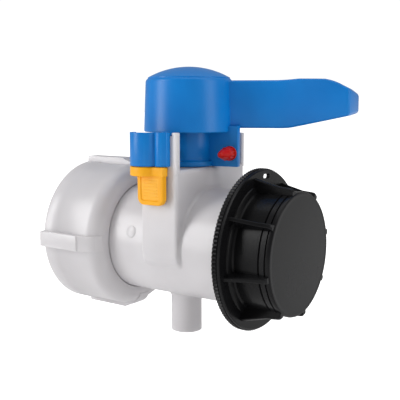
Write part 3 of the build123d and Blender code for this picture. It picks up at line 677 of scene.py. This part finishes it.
def plateSolid():
    bm = bmesh.new()
    half = handle["plateHalf"]
    corners = [(12.0, half), (handle["plateRadius"], half), (handle["plateRadius"], -half), (12.0, -half)]
    extrudeOutline(bm, [platePlace(r, a, handle["sleeveBottom"]) for r, a in corners],
                   Vector((0, 0, handle["plateTop"] - handle["sleeveBottom"])))
    roundEdges(bm, [e for e in bm.edges if min((v.co - stemFoot).xy.length for v in e.verts) > 20], 0.35, 2)
    return rawPiece(bm, "plate")


def hubPiece():
    # a round hub that narrows upwards to a low dome
    rim, bottom, rimTop, foot = handle["rimRadius"], handle["bottomRadius"], handle["hubRim"], handle["hubBottom"]
    dome = (rim ** 2 + handle["dome"] ** 2) / (2 * handle["dome"])
    outline = arcPoints((0, rimTop + handle["dome"] - dome), dome, 90, 60.6, 16)
    outline += arcPoints((rim - handle["rimRound"], rimTop - 2.0), handle["rimRound"], 62, 2, 8)
    outline += [(bottom, foot + 0.5), (bottom - 0.5, foot), (0, foot)]
    outline[0] = (0, rimTop + handle["dome"])
    bm = bmesh.new()
    spinProfile(bm, [stemPoint(r, z) for r, z in outline], stemFoot, stemAxis, 160)
    return rawPiece(bm, "hub")


def sleevePiece():
    # the sleeve round the stem, with a thicker lip at its foot
    bottom, top, radius = handle["sleeveBottom"], handle["roof"] + 0.5, handle["sleeveRadius"]
    lip, lipTop, soft = handle["lipRadius"], handle["sleeveBottom"] + handle["lipHeight"], handle["lipRound"]
    outline = [(0, top), (radius, top), (radius, lipTop + 0.5), (radius + 0.5, lipTop), (lip - soft, lipTop),
               (lip, lipTop - soft), (lip, bottom + soft), (lip - soft, bottom), (0, bottom)]
    bm = bmesh.new()
    spinProfile(bm, [stemPoint(r, z) for r, z in outline], stemFoot, stemAxis, 128)
    return rawPiece(bm, "sleeve")


def boxOnStem(name, reach, half, bottom, top, angle):
    # a box that points away from the stem at an angle
    bm = bmesh.new()
    addBox(bm, (stemX + reach[0], -half, bottom), (stemX + reach[1], half, top))
    turn = Matrix.Rotation(math.radians(angle), 3, stemAxis)
    bmesh.ops.rotate(bm, verts=bm.verts, cent=stemFoot, matrix=turn)
    return rawPiece(bm, name)


def stopTab():
    # the tab that runs against the neck's stops
    first, last = handle["tabAngles"]
    inner, outer = handle["tabReach"]
    tab = arcPoints((stemX, 0), inner, first, last, 2) + arcPoints((stemX, 0), outer, last, first, 2)
    bm = bmesh.new()
    extrudeOutline(bm, [Vector((x, y, handle["sleeveBottom"])) for x, y in tab], Vector((0, 0, handle["lipHeight"])))
    return rawPiece(bm, "stopTab")


def makeHandle():
    moulding = hubPiece()
    combine(moulding, [leverSolid(0, 0, 0)], "UNION")
    # the lever's hollow stops short of the hub's wall
    hollow = leverSolid(handle["leverWall"], handle["leverEndWall"], 20.0)
    combine(hollow, [cylinderPiece("keeper", (stemX, 0, 40), stemAxis, handle["bottomRadius"], 60, 96)], "DIFFERENCE")
    cavity = cylinderPiece("hubCavity", (stemX, 0, handle["hubBottom"] - 5.0), stemAxis,
                           handle["rimRadius"] - handle["wall"], handle["roof"] - handle["hubBottom"] + 5.0, 128)
    combine(moulding, [hollow, cavity], "DIFFERENCE")
    ribs = [boxOnStem("rib", handle["ribReach"], handle["ribHalf"], handle["ribBottom"], handle["roof"] + 0.4,
                      30 + 60 * k) for k in range(handle["ribs"])]
    combine(moulding, [plateSolid(), sleevePiece(), *ribs, stopTab()], "UNION")
    bottom, lip, half = handle["sleeveBottom"], handle["lipHeight"], handle["socketHalf"]
    cuts = [boxOnStem("notch", handle["notchReach"], handle["notchHalf"], bottom - 1, bottom + lip + 0.2, angle)
            for angle in handle["notches"]]
    cuts.append(cylinderPiece("stemRoom", (stemX, 0, bottom - 1), stemAxis, handle["stemRoom"],
                              handle["stemRoomDepth"], 64))
    cuts.append(boxPiece("squareSocket", (stemX - half, -half, bottom), (stemX + half, half, handle["socketTop"])))
    across = platePlace(1, 1, 0) - platePlace(1, 0, 0)
    cuts.append(cylinderPiece("screwHole", platePlace(handle["screwReach"], -8, handle["screwZ"]), across,
                              handle["screwHole"], 16, 32))
    combine(moulding, cuts, "DIFFERENCE")
    moulding.name = "handleMoulding"
    return finishPiece(moulding, "handle", materials["blue"], ["handle"], 28.0)


holder = {"bottom": 45.7, "top": 63.4, "bulgeX": -3.5, "bulgeRadius": 9.0, "ridgeX": 7.4, "ridgeRadius": 4.1,
          "wall": 1.8, "cheekFace": -33.8, "stripEnd": 12.2, "stripDepth": 2.4, "hook": (3.5, 11.5)}


def makeHolder():
    face = holder["cheekFace"]
    bulge = (stemX + holder["bulgeX"], face)
    ridge = (stemX + holder["ridgeX"], face - 0.6)
    stripEnd, stripFace = stemX + holder["stripEnd"], face - holder["stripDepth"]
    outer = arcPoints(bulge, holder["bulgeRadius"], 180, 318, 22)
    outer += [(bulge[0] + 7.3, face - 4.6)]
    outer += arcPoints(ridge, holder["ridgeRadius"], 226, 316, 10)
    outer += [(ridge[0] + 4.0, stripFace), (stripEnd - 0.4, stripFace), (stripEnd, stripFace + 0.4), (stripEnd, face)]
    innerRidge = arcPoints(ridge, holder["ridgeRadius"] - holder["wall"], 340, 214, 10)
    innerBulge = arcPoints(bulge, holder["bulgeRadius"] - holder["wall"], 326, 180, 20)
    inner = [(innerRidge[0][0], face)] + innerRidge + innerBulge
    bm = bmesh.new()
    outline = [Vector((x, y, holder["bottom"])) for x, y in outer + inner]
    extrudeOutline(bm, outline, Vector((0, 0, holder["top"] - holder["bottom"])))
    clip = rawPiece(bm, "clip")
    # a hook goes over the cheek and down behind it
    top = shell["cheekTop"] + 0.05
    inside = -shell["blockHalf"] + shell["cheekWall"] + 0.1
    start, end = (stemX + x for x in holder["hook"])
    hooks = [boxPiece("hook", (start, face - 1.4, top), (end, inside + 1.6, holder["top"])),
             boxPiece("hook", (start, inside, top - 4), (end, inside + 1.6, top + 0.5))]
    combine(clip, hooks, "UNION")
    softenCorners(clip, 0.3, 40, 2)
    clip.name = "holderClip"
    return finishPiece(clip, "valve", materials["blue"], ["slide_holder"], 40.0)


slide = {"left": -6.8, "right": 10.6, "outerY": -38.2, "thickness": 3.0, "bottom": 24.8, "top": 42.4, "corner": 4.0,
         "flare": ((0.6, 0.0), (0.2, 3.0), (0.0, 6.0)), "edgeRound": 0.7, "border": 2.2, "recess": 0.45,
         "recessSlope": 0.5, "ribs": 6, "ribRadius": 0.42, "ribInset": 4.2, "collarBottom": 40.3, "collarTop": 45.3,
         "riserHeight": 13.2, "gap": 0.4, "tongueHalf": 2.8, "tongueZ": (50.5, 53.5), "tongueEnd": -14.2}


def frontFace(bm):
    return min((f for f in bm.faces if len(f.verts) > 8), key=lambda f: f.calc_center_median().y)


def tabPiece(left, right):
    # the thumb tab: round lower corners, a flared top left and a sunk middle
    outerY, innerY = slide["outerY"], slide["outerY"] + slide["thickness"]
    corner, bottom, top = slide["corner"], slide["bottom"], slide["top"]
    rim = arcPoints((left + corner, bottom + corner), corner, 180, 270, 8)
    rim += arcPoints((right - corner, bottom + corner), corner, 270, 360, 8)
    rim += [(right, top)] + [(left - outward, top - down) for outward, down in slide["flare"]]
    bm = bmesh.new()
    extrudeOutline(bm, [Vector((x, innerY, z)) for x, z in rim], Vector((0, outerY - innerY, 0)))
    roundEdges(bm, frontFace(bm).edges, slide["edgeRound"], 3)
    front = frontFace(bm)
    bmesh.ops.inset_region(bm, faces=[front], thickness=slide["border"] - slide["edgeRound"])
    bmesh.ops.inset_region(bm, faces=[front], thickness=slide["recessSlope"], depth=-slide["recess"])
    return rawPiece(bm, "tab")


def makeLockSlide():
    left, right, outerY = stemX + slide["left"], stemX + slide["right"], slide["outerY"]
    face = holder["cheekFace"] - 0.3
    tab = tabPiece(left, right)
    added = []
    span = (slide["top"] - slide["bottom"] - 2 * slide["border"] - 3.0) / slide["ribs"]
    for k in range(slide["ribs"]):
        foot = (left + slide["ribInset"], outerY + slide["recess"] + 0.22,
                slide["bottom"] + slide["border"] + 1.6 + span * (k + 0.5))
        added.append(cylinderPiece("gripRib", foot, flowAxis, slide["ribRadius"],
                                   right - left - 2 * slide["ribInset"], 12))
    bulge = (stemX + holder["bulgeX"], holder["cheekFace"])
    edge = arcPoints(bulge, holder["bulgeRadius"], 182, 300, 18)
    edge += [(bulge[0] + 7.0, outerY - 0.6), (bulge[0] + 9.5, outerY - 0.2), (right + 0.3, outerY - 0.2),
             (right + 0.3, face)]
    bm = bmesh.new()
    extrudeOutline(bm, [Vector((x, y, slide["collarBottom"])) for x, y in edge],
                   Vector((0, 0, slide["collarTop"] - slide["collarBottom"])))
    roundEdges(bm, creases(bm, 50), 0.6, 3)
    added.append(rawPiece(bm, "collar"))
    # the riser runs up inside the holder and carries the tongue
    edge = arcPoints(bulge, holder["bulgeRadius"] - holder["wall"] - slide["gap"], 183, 357, 20)
    bm = bmesh.new()
    extrudeOutline(bm, [Vector((x, y, slide["collarTop"] - 1)) for x, y in edge], Vector((0, 0, slide["riserHeight"])))
    added.append(rawPiece(bm, "riser"))
    bm = bmesh.new()
    half = slide["tongueHalf"]
    addBox(bm, (stemX - half, face - 1.5, slide["tongueZ"][0]), (stemX + half, slide["tongueEnd"], slide["tongueZ"][1]))
    roundEdges(bm, [e for e in bm.edges if max(v.co.y for v in e.verts) > face], 0.4, 2)
    added.append(rawPiece(bm, "tongue"))
    combine(tab, added, "UNION")
    tab.name = "lockSlideTab"
    return finishPiece(tab, "lock_slide", materials["yellow"], ["lock_slide"], 35.0)


screw = {"headBack": 2.9, "headRadius": 3.7, "headLength": 5.5, "tipLength": 7.5, "shankRadius": 2.35,
         "shankLength": 7.0, "endRadius": 1.7, "endTaper": 0.7, "flutes": 12, "fluteDepth": 0.4,
         "taper": ((3.1, 0.1), (2.75, 2.0), (2.3, 4.0), (1.75, 5.8)), "tipRound": 1.4}


def makeLockScrew():
    # built along Z from the plate's middle, then laid along the screw's own axis
    back, head = screw["headBack"], screw["headBack"] + screw["headLength"]
    end, tip = back - screw["shankLength"], head + screw["tipLength"]
    r, shank, soft = screw["headRadius"], screw["shankRadius"], screw["tipRound"]
    outline = [(0, end), (screw["endRadius"], end), (shank, end + screw["endTaper"]), (shank, back)]
    outline += [(r - 0.5, back), (r, back + 0.5), (r, head - 0.9), (r, head - 0.6), (r - 0.5, head - 0.1)]
    outline += [(radius, head + z) for radius, z in screw["taper"]]
    outline += arcPoints((0, tip - soft), soft, 20, 90, 5)
    bm = bmesh.new()
    spinProfile(bm, [Vector((x, 0, z)) for x, z in outline], Vector((0, 0, 0)), stemAxis, screw["flutes"] * 6)
    for v in bm.verts:
        radius = v.co.xy.length
        if radius > r - 0.05:
            wave = 0.5 - 0.5 * math.cos(math.atan2(v.co.y, v.co.x) * screw["flutes"])
            v.co.xy *= 1 - screw["fluteDepth"] * wave / radius
    origin = platePlace(handle["screwReach"], 0, handle["screwZ"])
    along = Vector(joints["screw_turn"]["axis"])
    turn = stemAxis.rotation_difference(along).to_matrix().to_4x4()
    bm.transform(Matrix.Translation(origin) @ turn)
    return finishPiece(rawPiece(bm, "lockScrewBody"), "lock_screw", materials["red"], ["lock_screw"], 32.0)


cap = {"back": 119.6, "teethEnd": 122.6, "flangeFront": 124.0, "face": 146.5, "flangeRadius": 44.1, "teeth": 132,
       "toothDepth": 0.75, "wallRadius": 33.0, "boreRadius": 30.6, "topInside": 143.5, "stepX": 140.2,
       "hollow": (36.5, 41.9, 2.4), "sealHole": (3.2, 39.8), "sealHoleSize": (3.3, 1.3)}
capRib = {"count": 8, "turn": 12.5, "root": 40.6, "radius": 36.8, "end": 36.1, "bend": 137.7, "half": 1.7,
          "topShare": 0.65, "sink": 1.6, "round": 0.55}


def capOutline():
    back, face, front, step, teethEnd = (cap[key] for key in ("back", "face", "flangeFront", "stepX", "teethEnd"))
    wall, rim, bore = cap["wallRadius"], cap["flangeRadius"], cap["boreRadius"]
    hollowIn, hollowOut, hollowDepth = cap["hollow"]
    seat = [(back + 0.8, bore), (back, bore + 0.8), (back, hollowIn - 0.4), (back + 0.4, hollowIn),
            (back + hollowDepth, hollowIn), (back + hollowDepth, hollowOut), (back + 0.4, hollowOut),
            (back, hollowOut + 0.4)]
    flange = [(back, rim - 1.0), (back + 0.35, rim - 0.1), (back + 0.5, rim), (teethEnd - 0.1, rim),
              (teethEnd, rim - 0.9), (teethEnd + 0.2, rim - 0.55), (front - 0.5, rim - 0.65), (front, rim - 1.3)]
    root = [(front, wall + 3.5), (front + 0.5, wall + 3.2), (front + 0.9, wall + 2.4), (front + 1.4, wall + 0.7),
            (front + 2.2, wall)]
    # two shallow grooves with a band between them
    band = [(step - 0.5, wall), (step - 0.1, wall - 0.75), (step + 0.25, wall - 0.75), (step + 0.6, wall + 0.05),
            (step + 3.1, wall + 0.05), (step + 3.4, wall - 0.6), (step + 3.7, wall - 0.6), (step + 4.1, wall + 0.1)]
    end = [(face - 1.1, wall + 0.1), (face - 0.45, wall - 0.1), (face - 0.08, wall - 0.5), (face, wall - 1.1),
           (face - 0.12, wall - 1.9), (face - 0.12, wall - 3.0), (face - 0.13, wall - 6.0), (face - 0.14, 0.0)]
    inside = [(cap["topInside"], 0), (cap["topInside"], bore)]
    return [flowPoint(x, r) for x, r in seat + flange + root + band + end + inside]


def makeCapRib(angle):
    # a grip rib that narrows outwards and falls from the flange to the face
    wall, face, front = cap["wallRadius"], cap["face"], cap["flangeFront"]
    top, end, sink, half = capRib["radius"], capRib["end"], wall - capRib["sink"], capRib["half"]
    side = [(front - 0.6, sink), (front - 0.6, capRib["root"]), (capRib["bend"], top), (face - 2.4, end),
            (face - 1.3, end - 0.3), (face - 0.5, end - 1.3), (face - 0.5, sink)]
    bm = bmesh.new()
    extrudeOutline(bm, [Vector((x, -half, r)) for x, r in side], Vector((0, 2 * half, 0)))
    for v in bm.verts:
        if v.co.z > wall:
            v.co.y *= 1 - (1 - capRib["topShare"]) * min(1.0, (v.co.z - wall) / (top - wall))
    outer = [e for e in creases(bm, 45) if min(v.co.z for v in e.verts) > wall + 0.3]
    roundEdges(bm, outer, capRib["round"], 3)
    turn = Matrix.Rotation(math.radians(angle), 3, flowAxis)
    bmesh.ops.rotate(bm, verts=bm.verts, cent=(0, 0, 0), matrix=turn)
    return rawPiece(bm, "capRib")


def cutTeeth(bm):
    # every third point round the flange's edge is pulled in
    rim, points = cap["flangeRadius"], cap["teeth"] * 3
    for v in bm.verts:
        radius = math.hypot(v.co.y, v.co.z)
        if cap["back"] + 0.2 < v.co.x < cap["teethEnd"] and radius > rim - 0.5:
            if round(math.atan2(v.co.z, v.co.y) / (2 * math.pi) * points) % 3 == 0:
                v.co.y *= 1 - cap["toothDepth"] / radius
                v.co.z *= 1 - cap["toothDepth"] / radius


def makeDustCap():
    bm = bmesh.new()
    spinProfile(bm, capOutline(), Vector((0, 0, 0)), flowAxis, cap["teeth"] * 3)
    cutTeeth(bm)
    moulding = rawPiece(bm, "capShell")
    count = capRib["count"]
    combine(moulding, [makeCapRib(capRib["turn"] + 360 / count * k) for k in range(count)], "UNION")
    # a slot through the flange for a seal wire
    y, z = cap["sealHole"]
    across, up = cap["sealHoleSize"]
    back, front = cap["back"], cap["flangeFront"]
    bm = bmesh.new()
    for v in addCylinder(bm, (back - 2, y, z), flowAxis, up, front - back + 4, 32):
        v.co.y += math.copysign(across - up, v.co.y - y)
    combine(moulding, [rawPiece(bm, "sealHole")], "DIFFERENCE")
    moulding.name = "capMoulding"
    return finishPiece(moulding, "dust_cap", materials["black"], ["dust_cap"], 32.0)


makeHandle()
print("handle done")
makeHolder()
makeLockSlide()
makeLockScrew()
print("locks done")
makeDustCap()
print("dust cap done")


kept = {"ball": "ball", "stem": "ball", "inlet_tailpiece": "natural", "seat_inlet": "seat", "seat_outlet": "seat",
        "stem_thrust_washer": "seat", "lock_screw_washer": "red", "inlet_gasket": "rubber", "cap_gasket": "rubber",
        "tailpiece_oring": "rubber", "seat_inlet_oring": "rubber", "seat_outlet_oring": "rubber",
        "stem_oring_lower": "rubber", "stem_oring_upper": "rubber"}
for name, finish in kept.items():
    for place in nodes[name].material_slots:
        place.material = materials[finish]
print("kept CAD pieces:", len(kept))


studio = {"camera": (308.9, -324.4, 76.8), "turn": 34.9, "down": 7.6, "lens": 63.0, "floorSize": 12.0,
          "ambient": 0.36, "backdrop": 1.05, "floorShade": 0.66, "floorRoughness": 0.9, "floorGlow": 0.4,
          "floorSeen": 1.02}

# soft boxes: place relative to the valve in metres, size and power
softBoxes = {
    "leftBox": {"place": (-0.75, -0.85, 0.30), "size": (0.45, 1.1), "power": 9.5},
    "rightBox": {"place": (1.05, 0.05, 0.35), "size": (0.45, 1.2), "power": 5.0},
    "topBox": {"place": (0.1, 0.1, 1.2), "size": (1.2, 1.2), "power": 5.0},
}


def cameraOnly(tree, socket, low, high):
    # a strength that is high for what the camera sees and low for the light it sheds
    path = tree.nodes.new("ShaderNodeLightPath")
    strength = tree.nodes.new("ShaderNodeMapRange")
    strength.inputs["To Min"].default_value = low
    strength.inputs["To Max"].default_value = high
    tree.links.new(path.outputs["Is Camera Ray"], strength.inputs["Value"])
    tree.links.new(strength.outputs["Result"], socket)


def makeStudio():
    data = bpy.data.cameras.new("camera")
    data.lens = studio["lens"]
    data.sensor_width = 36.0
    data.clip_start = 0.01
    camera = bpy.data.objects.new("camera", data)
    camera.location = Vector(studio["camera"]) * mm
    camera.rotation_euler = (math.radians(90 - studio["down"]), 0, math.radians(studio["turn"]))
    bpy.context.scene.collection.objects.link(camera)
    bpy.context.scene.camera = camera
    floorZ = cadBox[0].z - 0.0002
    bm = bmesh.new()
    bmesh.ops.create_grid(bm, x_segments=1, y_segments=1, size=studio["floorSize"])
    floor = rawPiece(bm, "floor")
    floor.location = (0, 0, floorZ)
    paper = bpy.data.materials.new("paleFloor")
    paper.use_nodes = True
    shader = paper.node_tree.nodes["Principled BSDF"]
    shader.inputs["Base Color"].default_value = (*[studio["floorShade"]] * 3, 1)
    shader.inputs["Roughness"].default_value = studio["floorRoughness"]
    shader.inputs["Emission Color"].default_value = (1, 1, 1, 1)
    cameraOnly(paper.node_tree, shader.inputs["Emission Strength"], studio["floorGlow"], studio["floorSeen"])
    floor.data.materials.append(paper)
    aim = Vector((stemX * mm, 0, 0.02))
    for name, box in softBoxes.items():
        light = bpy.data.lights.new(name, "AREA")
        light.shape = "RECTANGLE"
        light.size, light.size_y = box["size"]
        light.energy = box["power"]
        lamp = bpy.data.objects.new(name, light)
        lamp.location = Vector(box["place"]) + aim
        lamp.rotation_euler = (-Vector(box["place"])).to_track_quat("-Z", "Y").to_euler()
        bpy.context.scene.collection.objects.link(lamp)
    world = bpy.data.worlds.new("studio")
    bpy.context.scene.world = world
    world.use_nodes = True
    # the camera sees a white backdrop, while the room's own light stays low
    back = world.node_tree.nodes["Background"]
    back.inputs["Color"].default_value = (1, 1, 1, 1)
    cameraOnly(world.node_tree, back.inputs["Strength"], studio["ambient"], studio["backdrop"])
    bpy.context.scene.view_settings.view_transform = "Standard"


makeStudio()
